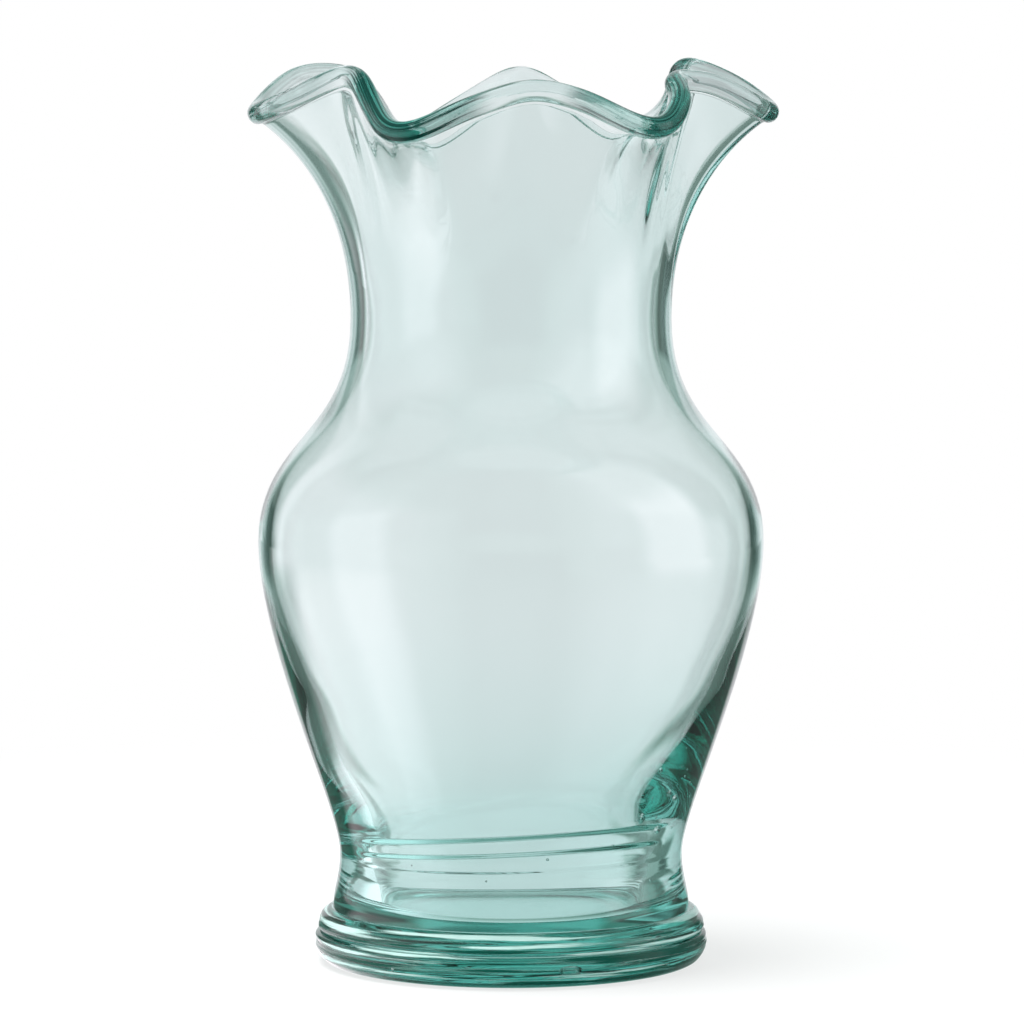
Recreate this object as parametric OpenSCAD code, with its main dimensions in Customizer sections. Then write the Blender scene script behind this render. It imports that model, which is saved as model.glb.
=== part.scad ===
// Glass flower vase with a ruffled lip, made of four gathers of glass joined hot:
// a blown vessel, a trail of glass wrapped round its rim, a collar round its bottom
// and a disc that it stands on.
// Z is up and the origin is the middle of the foot's underside.

/* [Vessel] */
// Outside radius at the widest part of the belly
belly_r = 66.8; // [62:0.2:72]
// Height of the widest part of the belly above the foot ring
belly_h = 97.5; // [92:0.5:103]
// Outside radius of the neck where it is narrowest
neck_r = 42.3; // [40:0.1:46]
// Height of the neck above the foot ring
neck_h = 156.5; // [151:0.5:162]
// Outside radius of the waist above the foot
waist_r = 45.4; // [43:0.1:48]
// Height of the waist above the foot ring
waist_h = 14.5; // [12:0.5:17]
// Outside radius of the vessel where it rests on the foot ring
seat_r = 47.2; // [45.5:0.1:49]

/* [Glass thickness] */
// Thickness of the wall at the neck
neck_wall = 4.4; // [3:0.1:6]
// Thickness of the wall at the belly
belly_wall = 3.4; // [2.4:0.1:5]
// Thickness of the wall where it meets the lip wrap
rim_wall = 3.2; // [2.4:0.1:4]
// Thickness of the glass under the floor of the vessel
floor_t = 6.6; // [4:0.1:8]
// Radius of the well at the bottom of the cavity
well_r = 35.4; // [34:0.1:37]
// Radius of the corner between the floor and the well
well_corner = 2.5; // [1.5:0.5:6]
// Radius of the narrow throat at the top of the well
throat_r = 33.8; // [31:0.1:34]
// Height of the throat above the floor
throat_h = 21; // [18:0.1:25]
// Inside radius of the bowl at its lowest, on the ledge round the throat
bowl_r = 37.5; // [36:0.1:40]
// Height of the ledge between the throat and the bowl
ledge_h = 4; // [3:0.1:6]

/* [Ruffled lip] */
// Radius of the lip wrap's section
wrap_r = 2.9; // [2.5:0.1:3.4]
// Height of the highest fold of the lip above the foot ring
lip_h = 222; // [216:0.5:228]
// How far the lowest lobe hangs below the highest fold
lip_drop = 21; // [16:0.5:24]
// Distance of the furthest lobe from the axis
lobe_reach = 68.5; // [64:0.5:72]
// Distance of the innermost fold from the axis
fold_reach = 49; // [47:0.5:54]

/* [Foot] */
// How far the foot disc stands out past the foot ring
disc_lap = 0.8; // [0.2:0.1:2]
// Thickness of the foot disc
disc_h = 8.4; // [7:0.1:10]
// Width of the rounded lower edge of the foot disc
disc_edge_w = 5.6; // [4:0.1:7]
// Height of the rounded lower edge of the foot disc
disc_edge_h = 5.4; // [4:0.1:6]
// Radius of the small round on the foot disc's upper edge
disc_top_round = 1.4; // [0.8:0.1:2]
// Outside radius of the foot ring
ring_r = 51.4; // [50:0.1:54]
// Width of the foot ring, from its outside to the vessel's bottom
ring_w = 6.8; // [6.2:0.1:8.4]
// Thickness of the foot ring
ring_h = 6.1; // [5:0.1:8]
// Width of the round on the foot ring's upper edge
ring_shoulder_w = 4.2; // [3:0.1:5]
// Radius of the hollow under the foot
kick_r = 36; // [30:0.5:40]
// Depth of the hollow under the foot
kick_h = 1.6; // [1:0.1:2.5]

/* [Hidden] */

// Pull of each curve's two handles, as a share of the height between its ends
waist_belly_shares = [0.14, 0.33];
belly_neck_shares = [0.46, 0.53];
neck_lip_shares = [0.62, 0.16];
well_throat_shares = [0.6, 0.3];
ledge_shares = [0.15, 0.15];
bowl_belly_shares = [0.05, 0.43];
seat_waist_shares = [0.35, 0.45];
// Lean of the wall where it meets the lip wrap, in degrees above level
fold_lean = 84;
lobe_lean = 30;

// The lip, round the rim: azimuth in degrees with 0 at the front and the right side
// at 90, reach share between innermost fold and furthest lobe, and share of the drop
lip_shares = [
    [-90, 0.89, 0.54], [-70, 0.73, 0.38], [-52, 0.18, 0.00], [-38, 0.43, 0.38],
    [-24, 1.00, 0.66], [-11, 0.61, 0.36], [5, 0.28, 0.14], [19, 0.49, 0.27],
    [33, 0.93, 0.62], [48, 0.50, 0.30], [60, 0.00, 0.10], [75, 0.34, 0.17],
    [90, 0.98, 0.56], [105, 0.62, 0.24], [120, 0.20, 0.04], [136, 0.64, 0.55],
    [151, 0.95, 0.90], [164, 0.64, 0.57], [177, 0.21, 0.19], [191, 0.68, 0.56],
    [205, 0.97, 1.00], [219, 0.48, 0.54], [234, 0.18, 0.18], [252, 0.53, 0.14]
];
full_turn = 360;

// Sectors round the vessel, steps along its curves and sides of the lip wrap
sectors = 72;
seat_steps = 3;
body_steps = 8;
flare_steps = 8;
corner_steps = 3;
throat_steps = 4;
ledge_steps = 5;
wrap_sides = 12;
foot_facets = 180;
edge_steps = 10;
tangent_step = 1;

// Radius of the foot disc, and of the vessel's bottom inside the foot ring
disc_r = ring_r + disc_lap;
bottom_r = ring_r - ring_w;

ring_z = disc_h;
seat_z = disc_h + ring_h;
waist_z = seat_z + waist_h;
belly_z = seat_z + belly_h;
neck_z = seat_z + neck_h;
lip_z = seat_z + lip_h;
floor_z = ring_z + floor_t;
throat_z = floor_z + throat_h;
bowl_z = throat_z + ledge_h;
// Distance from the lip wrap's middle to the flat where the wall enters it
wrap_seat = sqrt(pow(wrap_r, 2) - pow(rim_wall / 2, 2));

function lerp(a, b, t) = a + (b - a) * t;
function unit(v) = v / norm(v);
function bezier(a, b, c, d, t) =
    pow(1 - t, 3) * a + 3 * pow(1 - t, 2) * t * b + 3 * (1 - t) * t * t * c + pow(t, 3) * d;
// Curve between two places where the wall stands upright, without its first point
function upright_curve(r1, z1, r2, z2, shares, steps) =
    [for (i = [1:steps]) bezier(
        [r1, z1], [r1, lerp(z1, z2, shares[0])],
        [r2, lerp(z2, z1, shares[1])], [r2, z2], i / steps)];

// The lip's share in one column at any azimuth, as a smooth curve through the table
function knot(i) = let (n = len(lip_shares), row = lip_shares[(i + n) % n])
    [row[0] + full_turn * floor(i / n), row[1], row[2]];
function in_turn(az) = az < lip_shares[0][0] ? az + full_turn
    : az >= lip_shares[0][0] + full_turn ? az - full_turn : az;
function knot_before(az) = len([for (row = lip_shares) if (row[0] <= az) 1]) - 1;
function lip_share(az, column) =
    let (
        q = in_turn(az), i = knot_before(q),
        k = [for (j = [i - 1:i + 2]) knot(j)],
        span = k[2][0] - k[1][0], t = (q - k[1][0]) / span,
        m1 = (k[2][column] - k[0][column]) / (k[2][0] - k[0][0]) * span,
        m2 = (k[3][column] - k[1][column]) / (k[3][0] - k[1][0]) * span
    )
    k[1][column] * (2 * pow(t, 3) - 3 * t * t + 1) + m1 * (pow(t, 3) - 2 * t * t + t)
    + k[2][column] * (3 * t * t - 2 * pow(t, 3)) + m2 * (pow(t, 3) - t * t);

function outward(az) = [sin(az), -cos(az), 0];
function at(az, r, z) = r * outward(az) + [0, 0, z];
// Middle of the lip wrap's section at an azimuth
function lip_point(az) =
    at(az, lerp(fold_reach, lobe_reach, lip_share(az, 1)), lip_z - lip_drop * lip_share(az, 2));
// Directions there: along the lip, up the wall into the lip, and out through the wall
function lip_frame(az) =
    let (
        along = unit(lip_point(az + tangent_step) - lip_point(az - tangent_step)),
        lean = lerp(fold_lean, lobe_lean, lip_share(az, 1)),
        rise = cos(lean) * outward(az) + [0, 0, sin(lean)],
        up = unit(rise - (rise * along) * along)
    )
    [along, up, cross(along, up)];
// Edge of the wall where it enters the lip wrap: side is 1 outside and -1 inside
function rim_edge(az, side) = let (f = lip_frame(az))
    lip_point(az) - wrap_seat * f[1] + side * rim_wall / 2 * f[2];
// The flare's wall on one side, from the neck up to the lip wrap, without its first point
function flare_curve(az, r, side) =
    let (edge = rim_edge(az, side), up = lip_frame(az)[1], rise = edge[2] - neck_z)
    [for (i = [1:flare_steps]) bezier(
        at(az, r, neck_z), at(az, r, neck_z + rise * neck_lip_shares[0]),
        edge - rise * neck_lip_shares[1] * up, edge, i / flare_steps)];

// Outer and inner wall below the neck, as radius and height, both from the bottom up
outer_wall = concat(
    [[bottom_r, ring_z], [bottom_r, seat_z], [seat_r, seat_z]],
    upright_curve(seat_r, seat_z, waist_r, waist_z, seat_waist_shares, seat_steps),
    upright_curve(waist_r, waist_z, belly_r, belly_z, waist_belly_shares, body_steps),
    upright_curve(belly_r, belly_z, neck_r, neck_z, belly_neck_shares, body_steps));
inner_wall = concat(
    [for (i = [0:corner_steps]) let (a = 90 * i / corner_steps)
        [well_r - well_corner * (1 - sin(a)), floor_z + well_corner * (1 - cos(a))]],
    upright_curve(
        well_r, floor_z + well_corner, throat_r, throat_z, well_throat_shares, throat_steps),
    upright_curve(throat_r, throat_z, bowl_r, bowl_z, ledge_shares, ledge_steps),
    upright_curve(
        bowl_r, bowl_z, belly_r - belly_wall, belly_z, bowl_belly_shares, body_steps),
    upright_curve(
        belly_r - belly_wall, belly_z, neck_r - neck_wall, neck_z,
        belly_neck_shares, body_steps));

// All points of the vessel's section at one azimuth, up outside and down inside
function backwards(v) = [for (i = [len(v) - 1:-1:0]) v[i]];
function vessel_section(az) = concat(
    [for (p = outer_wall) at(az, p[0], p[1])],
    flare_curve(az, neck_r, 1),
    backwards(flare_curve(az, neck_r - neck_wall, -1)),
    [for (p = backwards(inner_wall)) at(az, p[0], p[1])]);

// All points of the lip wrap's section at one azimuth: the flat, then the round
function wrap_section(az) =
    let (f = lip_frame(az), half = asin(rim_wall / 2 / wrap_r), steps = wrap_sides - 1)
    [for (i = [0:steps]) let (a = half + (full_turn - 2 * half) * i / steps)
        lip_point(az) + wrap_r * (sin(a) * f[2] - cos(a) * f[1])];

function sector_azimuth(i) = full_turn * i / sectors;

// Skin between matching points of neighbouring sections all round the vase. Where
// closed is false, the first and last points of each section have a cap of their own.
module skin_round(sections, closed) {
    n = len(sections);
    m = len(sections[0]);
    bands = [for (i = [0:n - 1], j = [0:(closed ? m - 1 : m - 2)])
        let (a = i * m, b = ((i + 1) % n) * m, k = (j + 1) % m)
        each [[a + j, a + k, b + j], [a + k, b + k, b + j]]];
    caps = closed ? [] : [
        [for (i = [0:n - 1]) i * m],
        [for (i = [n - 1:-1:0]) i * m + m - 1]];
    polyhedron(points = [for (s = sections) each s], faces = concat(bands, caps));
}

// Quarter round from one corner to another, bulging away from the axis and the seat
function quarter(r, z, w, h, from, to) = [for (i = [0:edge_steps])
    let (a = lerp(from, to, i / edge_steps)) [r - w + w * cos(a), z + h * sin(a)]];

module foot_disc() {
    kick_ball_r = (pow(kick_r, 2) + pow(kick_h, 2)) / (2 * kick_h);
    color([0.24, 0.62, 0.56])
    difference() {
        rotate_extrude($fn = foot_facets) polygon(concat(
            [[0, 0]],
            quarter(disc_r, disc_edge_h, disc_edge_w, disc_edge_h, -90, 0),
            quarter(disc_r, disc_h - disc_top_round, disc_top_round, disc_top_round, 0, 90),
            [[0, disc_h]]));
        translate([0, 0, kick_h - kick_ball_r]) sphere(r = kick_ball_r, $fn = foot_facets);
    }
}

module foot_ring() {
    low_round = disc_top_round;
    shoulder_h = ring_h - low_round;
    color([0.36, 0.72, 0.66])
    rotate_extrude($fn = foot_facets) polygon(concat(
        [[bottom_r, ring_z]],
        quarter(ring_r, ring_z + low_round, low_round, low_round, -90, 0),
        quarter(ring_r, ring_z + low_round, ring_shoulder_w, shoulder_h, 0, 90),
        [[bottom_r, seat_z]]));
}

module vessel() {
    color([0.80, 0.91, 0.88, 0.6])
    skin_round([for (i = [0:sectors - 1]) vessel_section(sector_azimuth(i))], false);
}

module lip_wrap() {
    color([0.16, 0.52, 0.47])
    skin_round([for (i = [0:sectors - 1]) wrap_section(sector_azimuth(i))], true);
}

foot_disc();
foot_ring();
vessel();
lip_wrap();
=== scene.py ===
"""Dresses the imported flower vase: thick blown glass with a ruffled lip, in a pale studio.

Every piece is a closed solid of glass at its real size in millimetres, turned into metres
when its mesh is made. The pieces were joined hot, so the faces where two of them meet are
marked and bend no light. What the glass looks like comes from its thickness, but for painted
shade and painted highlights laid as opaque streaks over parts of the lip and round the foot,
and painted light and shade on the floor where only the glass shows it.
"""

import logging
import math
from dataclasses import dataclass
from enum import Enum
from typing import ClassVar

import bpy
import numpy as np
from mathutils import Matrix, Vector

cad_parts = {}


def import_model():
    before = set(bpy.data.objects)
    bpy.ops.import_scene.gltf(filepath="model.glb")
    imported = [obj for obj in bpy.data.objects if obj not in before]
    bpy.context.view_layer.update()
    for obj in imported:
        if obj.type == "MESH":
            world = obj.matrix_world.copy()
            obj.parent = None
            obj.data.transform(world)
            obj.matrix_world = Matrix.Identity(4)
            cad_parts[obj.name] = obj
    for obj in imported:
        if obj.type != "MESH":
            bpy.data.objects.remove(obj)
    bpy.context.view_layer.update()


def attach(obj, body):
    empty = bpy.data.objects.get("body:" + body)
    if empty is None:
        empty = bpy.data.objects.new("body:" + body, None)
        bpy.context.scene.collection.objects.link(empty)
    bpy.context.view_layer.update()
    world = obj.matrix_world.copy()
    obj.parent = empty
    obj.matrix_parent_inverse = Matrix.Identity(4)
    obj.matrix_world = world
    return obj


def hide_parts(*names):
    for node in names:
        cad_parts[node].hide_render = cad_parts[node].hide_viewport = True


LOG = logging.getLogger("flower_vase")
MM = 0.001
FULL_TURN = 360.0
BODY = "root"
SEAM = "seam"
# Name of the mesh attribute that says how much painted shade and painted highlights cover the glass.
PAINTED_TONE = "deep"
ROUND = "round"
WHITE = (1.0, 1.0, 1.0)

Faces = list[tuple[int, ...]]
Pair = tuple[float, float]
Triple = tuple[float, float, float]


class Side(Enum):
    """The two sides of the vessel's wall, and the way each lies from its middle."""

    OUTER = 1.0
    INNER = -1.0


class Ruffle(Enum):
    """What the lip's table holds beside the azimuth, by column."""

    REACH = 1
    DROP = 2


def outward(azimuth: np.ndarray) -> np.ndarray:
    """Unit vectors away from the axis; azimuth 0 is the front and 90 the right side.

    Args:
        azimuth: Angles round the vase, in degrees.

    Returns:
        One vector for each angle.
    """
    turn = np.radians(azimuth)
    return np.stack([np.sin(turn), -np.cos(turn), np.zeros_like(turn)], axis=-1)


def placed(azimuth: np.ndarray, radius: np.ndarray, height: np.ndarray) -> np.ndarray:
    """Points round the axis, from azimuths in degrees, radii and heights.

    Args:
        azimuth: Angles round the vase, in degrees.
        radius: Distances from the axis, in the same shape.
        height: Heights, in the same shape.

    Returns:
        One point for each.
    """
    points = outward(azimuth) * radius[..., None]
    points[..., 2] = height
    return points


def around(count: int) -> np.ndarray:
    """Azimuths of evenly spaced sections round the vase, in degrees."""
    return np.arange(count) * FULL_TURN / count


def wrapped(azimuth: np.ndarray) -> np.ndarray:
    """The same angles between -180 and 180 degrees."""
    return (azimuth + FULL_TURN / 2) % FULL_TURN - FULL_TURN / 2


def unit(vectors: np.ndarray) -> np.ndarray:
    """The vectors at length one."""
    return vectors / np.linalg.norm(vectors, axis=-1, keepdims=True)


def bezier(a: np.ndarray, b: np.ndarray, c: np.ndarray, d: np.ndarray, t: float) -> np.ndarray:
    """The point at t of a cubic curve with ends a and d and handles b and c."""
    s = 1.0 - t
    return s**3 * a + 3 * s * s * t * b + 3 * s * t * t * c + t**3 * d


def hermite(
    start: np.ndarray, end: np.ndarray, leaving: np.ndarray, arriving: np.ndarray, t: np.ndarray
) -> np.ndarray:
    """The value at t of a cubic between two values, with its slopes at both.

    Args:
        start: Value at the start.
        end: Value at the end.
        leaving: Slope at the start, over the whole step.
        arriving: Slope at the end.
        t: Place between them, from 0 to 1.

    Returns:
        The value there.
    """
    return (
        start * (2 * t**3 - 3 * t**2 + 1) + leaving * (t**3 - 2 * t**2 + t)
        + end * (3 * t**2 - 2 * t**3) + arriving * (t**3 - t**2)
    )


def upright_curve(start: Pair, end: Pair, shares: Pair, steps: int) -> np.ndarray:
    """A wall's line between two places where it stands upright, without its first point.

    Args:
        start: Radius and height of the first place.
        end: Radius and height of the last place.
        shares: Pull of the two handles, as shares of the height between the places.
        steps: How many points to give.

    Returns:
        Rows of radius and height.
    """
    rise = end[1] - start[1]
    a, d = np.array(start), np.array(end)
    b = a + np.array([0.0, rise * shares[0]])
    c = d - np.array([0.0, rise * shares[1]])
    return np.array([bezier(a, b, c, d, i / steps) for i in range(1, steps + 1)])


def ease(low: float, high: float, value: np.ndarray) -> np.ndarray:
    """A smooth step that is 0 below low and 1 above high."""
    t = np.clip((np.asarray(value, float) - low) / (high - low), 0.0, 1.0)
    return t * t * (3.0 - 2.0 * t)


def mark(mesh: bpy.types.Mesh, name: str, kind: str, domain: str, values: np.ndarray) -> None:
    """Stores a number or a vector for each point or face of a mesh.

    Args:
        mesh: The mesh.
        name: The attribute's name.
        kind: FLOAT or FLOAT_VECTOR.
        domain: POINT or FACE.
        values: One row for each.
    """
    part = "vector" if kind == "FLOAT_VECTOR" else "value"
    attribute = mesh.attributes.new(name, kind, domain)
    attribute.data.foreach_set(part, np.asarray(values, np.float32).ravel())


def places_of(mesh: bpy.types.Mesh) -> np.ndarray:
    """A mesh's points, in mm.

    Args:
        mesh: The mesh.

    Returns:
        One row for each point.
    """
    flat = np.zeros(len(mesh.vertices) * 3, np.float32)
    mesh.vertices.foreach_get("co", flat)
    return flat.reshape(-1, 3).astype(float) / MM


@dataclass(frozen=True)
class Waves:
    """Uneven waves in hot glass, made of a few sines that never quite repeat.

    Attributes:
        length: Distance between two crests up the wall, in mm.
        wander: How far a crest climbs and falls round the vase, in crests.
        seed: Picks another set of waves.
        LAYERS: How much finer each layer of waves is, and its height.
        DRIFT: How often a crest climbs in one turn round the vase, and by what share.
    """

    LAYERS: ClassVar[tuple[Pair, ...]] = ((1.0, 0.5), (1.62, 0.3), (0.57, 0.35))
    DRIFT: ClassVar[tuple[Pair, ...]] = ((1.0, 1.0), (2.0, 0.6), (5.0, 0.35))
    length: float
    wander: float
    seed: int

    def at(self, azimuth: np.ndarray, height: np.ndarray) -> np.ndarray:
        """How high the waves stand, between about -1 and 1.

        Args:
            azimuth: Angles round the vase, in degrees.
            height: Heights up the wall, in mm.

        Returns:
            One value for each place.
        """
        phases = np.random.default_rng(self.seed).uniform(0.0, math.tau, (len(self.LAYERS), 4))
        turn = np.radians(azimuth)
        total = 0.0
        for row, (scale, weight) in zip(phases, self.LAYERS):
            drift = sum(
                share * np.sin(turns * turn + phase)
                for (turns, share), phase in zip(self.DRIFT, row)
            )
            total = total + weight * np.sin(
                math.tau * scale * height / self.length + self.wander * drift + row[-1]
            )
        return total

    def below(self, azimuth: np.ndarray, height: np.ndarray) -> np.ndarray:
        """The same waves, lowered until no crest stands above zero."""
        return self.at(azimuth, height) - sum(weight for _, weight in self.LAYERS)


class Wire:
    """One output of a node, on which sums are written as plain Python."""

    def __init__(self, graph: "Graph", socket: bpy.types.NodeSocket) -> None:
        """Keeps the graph that the socket belongs to."""
        self.graph = graph
        self.socket = socket

    def __add__(self, other: "Wire | float") -> "Wire":
        """The sum of two values."""
        return self.graph.math("ADD", self, other)

    def __sub__(self, other: "Wire | float") -> "Wire":
        """This value less another."""
        return self.graph.math("SUBTRACT", self, other)

    def __rsub__(self, other: float) -> "Wire":
        """A number less this value."""
        return self.graph.math("SUBTRACT", other, self)

    def __mul__(self, other: "Wire | float") -> "Wire":
        """The product of two values."""
        return self.graph.math("MULTIPLY", self, other)

    def __truediv__(self, other: "Wire | float") -> "Wire":
        """This value divided by another."""
        return self.graph.math("DIVIDE", self, other)

    __radd__ = __add__
    __rmul__ = __mul__


class Graph:
    """A node tree, shader or geometry, whose nodes all come from one method.

    Attributes:
        MIX_COLOURS: Numbers of a Mix node's two colour inputs.
        MIX_RESULT: Number of its colour output.
    """

    MIX_COLOURS = (6, 7)
    MIX_RESULT = 2

    def __init__(self, tree: bpy.types.NodeTree) -> None:
        """Starts with an empty tree."""
        self.tree = tree
        tree.nodes.clear()

    def node(
        self, kind: str, settings: dict | None = None, values: dict | None = None
    ) -> bpy.types.Node:
        """Adds one node.

        Args:
            kind: The node's type.
            settings: Properties set first; "stops" holds a ramp's places and levels.
            values: Values or wires for its inputs, by name or number.

        Returns:
            The node.
        """
        node = self.tree.nodes.new(kind)
        for name, value in (settings or {}).items():
            if name == "stops":
                self._fill_ramp(node.color_ramp, value)
            else:
                setattr(node, name, value)
        for name, value in (values or {}).items():
            target = node.inputs[name]
            if isinstance(value, Wire):
                self.tree.links.new(value.socket, target)
            else:
                target.default_value = value
        return node

    def _fill_ramp(self, ramp: bpy.types.ColorRamp, stops: list[Pair]) -> None:
        """Gives a ramp its stops, each a place and a grey level.

        Args:
            ramp: The ramp.
            stops: Places and levels, in order.
        """
        while len(ramp.elements) < len(stops):
            ramp.elements.new(1.0)
        for element, (place, level) in zip(ramp.elements, stops):
            element.position = place
            element.color = (level, level, level, 1.0)

    def wire(self, node: bpy.types.Node, output: str | int = 0) -> Wire:
        """A wire from one of a node's outputs."""
        return Wire(self, node.outputs[output])

    def out(
        self,
        kind: str,
        settings: dict | None = None,
        values: dict | None = None,
        output: str | int = 0,
    ) -> Wire:
        """Adds one node and gives a wire from one of its outputs."""
        return self.wire(self.node(kind, settings, values), output)

    def math(self, operation: str, first: "Wire | float", second: "Wire | float" = 0.0) -> Wire:
        """Adds one Math node."""
        kind = "ShaderNodeMath"
        return self.out(kind, {"operation": operation}, {0: first, 1: second})

    def blend(self, factor: Wire, first: "Wire | Triple", second: "Wire | Triple") -> Wire:
        """Mixes two colours.

        Args:
            factor: 0 for the first colour and 1 for the second.
            first: A wire, or red, green and blue.
            second: The same.

        Returns:
            The mixed colour.
        """
        colours = {
            socket: colour if isinstance(colour, Wire) else (*colour, 1.0)
            for socket, colour in zip(self.MIX_COLOURS, (first, second))
        }
        values = {"Factor": factor, **colours}
        return self.out("ShaderNodeMix", {"data_type": "RGBA"}, values, self.MIX_RESULT)

    def link(self, source: Wire, target: bpy.types.NodeSocket) -> None:
        """Joins a wire to an input."""
        self.tree.links.new(source.socket, target)


@dataclass(frozen=True)
class Glass:
    """Blown soda glass, tinted through its thickness by iron.

    Attributes:
        name: The material's name.
        loss: Light lost in each metre of glass, for red, green and blue.
        smear_scale: Faint smears on the surface in each metre.
        smear_detail: How many finer layers of smears there are.
        gloss: Roughness of the clean surface.
        smear: Roughness that a smear adds.
        index: Refractive index.
        painted_shade_colour: Colour of the darkest painted streaks: painted shade, in the teal of
            the glass.
        painted_light_colour: Colour of the lightest painted streaks: lighter painted teal, up to a
            near white painted highlight.
        painted_gloss: Roughness of the painted parts.
        painted_index: Refractive index of the painted parts, low so that their painted colour stays
            deep.
        painted_share: How much a light, a middling and a dark painted streak hide what lies behind.
        middling: Where from light to dark the middling painted streaks start and end.
        streaks: How many painted streaks lie round the section of a trail.
        streak_scale: How quickly the painted streaks change along each axis, in each metre.
        streak_edges: Noise levels where a painted streak starts and where it is at its darkest.
        streak_detail: How many finer layers of painted streaks there are.
        SEAM_INDEX: Refractive index of a seam, which bends no light.
    """

    SEAM_INDEX: ClassVar[float] = 1.0
    name: str
    loss: Triple = (21.0, 7.6, 9.0)
    smear_scale: float = 14.0
    smear_detail: float = 3.0
    gloss: float = 0.004
    smear: float = 0.02
    index: float = 1.52
    painted_shade_colour: Triple = (0.002, 0.03, 0.024)
    painted_light_colour: Triple = (0.06, 0.32, 0.27)
    painted_gloss: float = 0.12
    painted_index: float = 1.25
    painted_share: Triple = (0.0, 0.0, 0.0)
    middling: Pair = (0.3, 0.7)
    streaks: float = 19.0
    streak_scale: Triple = (24.0, 24.0, 24.0)
    streak_edges: Pair = (0.38, 0.56)
    streak_detail: float = 2.0

    def make(self) -> bpy.types.Material:
        """Builds the material.

        Returns:
            A glass material with absorption in its volume, clear seams, and an opaque layer of
            painted shade and painted highlights where the mesh asks for it.
        """
        material = bpy.data.materials.new(self.name)
        material.use_nodes = True
        graph = Graph(material.node_tree)
        place = graph.out("ShaderNodeTexCoord", output="Object")
        roughness = self.gloss + self._smears(graph, place) * self.smear
        surface = self._clear(graph, roughness, self.index)
        # Painted shade and painted highlights, mixed over the glass as an opaque layer where the
        # mesh asks for them.
        if any(self.painted_share):
            streaks = self._streaks(graph, place)
            share = self._attribute(graph, PAINTED_TONE) * self._painted_share(graph, streaks)
            body = self._painted_tone(graph, streaks)
            surface = graph.out("ShaderNodeMixShader", None, {0: share, 1: surface, 2: body})
        seam, clear = self._attribute(graph, SEAM), self._clear(graph, 0.0, self.SEAM_INDEX)
        surface = graph.out("ShaderNodeMixShader", None, {0: seam, 1: surface, 2: clear})
        density = max(self.loss)
        kept = tuple(1.0 - loss / density for loss in self.loss)
        volume = graph.out(
            "ShaderNodeVolumeAbsorption", None, {"Color": (*kept, 1.0), "Density": density}
        )
        graph.node("ShaderNodeOutputMaterial", None, {"Surface": surface, "Volume": volume})
        return material

    def _clear(self, graph: Graph, roughness: Wire | float, index: float) -> Wire:
        """The surface of clear glass with a roughness and a refractive index.

        Args:
            graph: The node tree.
            roughness: Its roughness.
            index: Its refractive index.

        Returns:
            The surface shader.
        """
        return graph.out(
            "ShaderNodeBsdfPrincipled",
            None,
            {
                "Base Color": (*WHITE, 1.0),
                "Roughness": roughness,
                "IOR": index,
                "Transmission Weight": 1.0,
            },
        )

    def _attribute(self, graph: Graph, name: str) -> Wire:
        """A number that the mesh carries."""
        return graph.out("ShaderNodeAttribute", {"attribute_name": name}, output="Fac")

    def _streaks(self, graph: Graph, place: Wire) -> Wire:
        """Where painted highlights and painted shade fall: streaks that run along a trail of glass
        or level round a foot, between 0 and 1.

        Args:
            graph: The node tree.
            place: The place on the piece.

        Returns:
            0 in the lightest painted streaks and 1 in the darkest painted shade.
        """
        noise = graph.out(
            "ShaderNodeTexNoise",
            {"noise_dimensions": "4D"},
            {
                "Vector": self._scaled(graph, place, self.streak_scale),
                "W": self._attribute(graph, ROUND) * self.streaks,
                "Scale": 1.0,
                "Detail": self.streak_detail,
            },
            "Fac",
        )
        low, high = self.streak_edges
        return graph.out(
            "ShaderNodeMapRange", None, {"Value": noise, "From Min": low, "From Max": high}
        )

    def _painted_share(self, graph: Graph, streaks: Wire) -> Wire:
        """How much of the painted layer shows in light, middling and dark painted streaks.

        Args:
            graph: The node tree.
            streaks: How dark the streaks are, between 0 and 1.

        Returns:
            A share between 0 and 1.
        """
        light, middle, dark = self.painted_share
        start, end = self.middling
        stops = [(0.0, light), (start, middle), (end, middle), (1.0, dark)]
        return graph.out("ShaderNodeValToRGB", {"stops": stops}, {0: streaks})

    def _painted_tone(self, graph: Graph, streaks: Wire) -> Wire:
        """Painted shade and painted highlights: an opaque surface coloured between the two painted
        colours.

        Args:
            graph: The node tree.
            streaks: How dark the streaks are, between 0 and 1.

        Returns:
            The surface shader.
        """
        colour = graph.blend(streaks, self.painted_light_colour, self.painted_shade_colour)
        return graph.out(
            "ShaderNodeBsdfPrincipled",
            None,
            {"Base Color": colour, "Roughness": self.painted_gloss, "IOR": self.painted_index},
        )

    def _smears(self, graph: Graph, place: Wire) -> Wire:
        """Faint smears all over the surface, between 0 and 1.

        Args:
            graph: The node tree.
            place: The place on the piece.

        Returns:
            The strength of the smears.
        """
        spot = self._scaled(graph, place, (self.smear_scale,) * 3)
        values = {"Vector": spot, "Scale": 1.0, "Detail": self.smear_detail}
        return graph.out("ShaderNodeTexNoise", None, values, "Fac")

    def _scaled(self, graph: Graph, place: Wire, scale: Triple) -> Wire:
        """The place on the piece, at a pattern's own scale along each axis."""
        values = {0: place, "Scale": scale}
        return graph.out("ShaderNodeMapping", {"vector_type": "POINT"}, values)


# The lip's trail: painted shade in the teal of the glass, nearly opaque in its darkest streaks.
LIP_GLASS = Glass("lip_glass", loss=(20.0, 7.5, 9.0), painted_share=(0.35, 0.6, 0.97))
VESSEL_GLASS = Glass("vessel_glass")
# The foot: streaks of painted near white highlights and painted dark teal shade round its outside.
FOOT_GLASS = Glass(
    "foot_glass",
    loss=(27.0, 8.2, 10.2),
    painted_shade_colour=(0.002, 0.07, 0.05),
    painted_light_colour=(0.70, 0.94, 0.90),
    painted_share=(0.85, 0.0, 0.95),
    streak_scale=(16.0, 16.0, 560.0),
    streak_edges=(0.38, 0.58),
    streak_detail=5.0,
)


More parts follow.
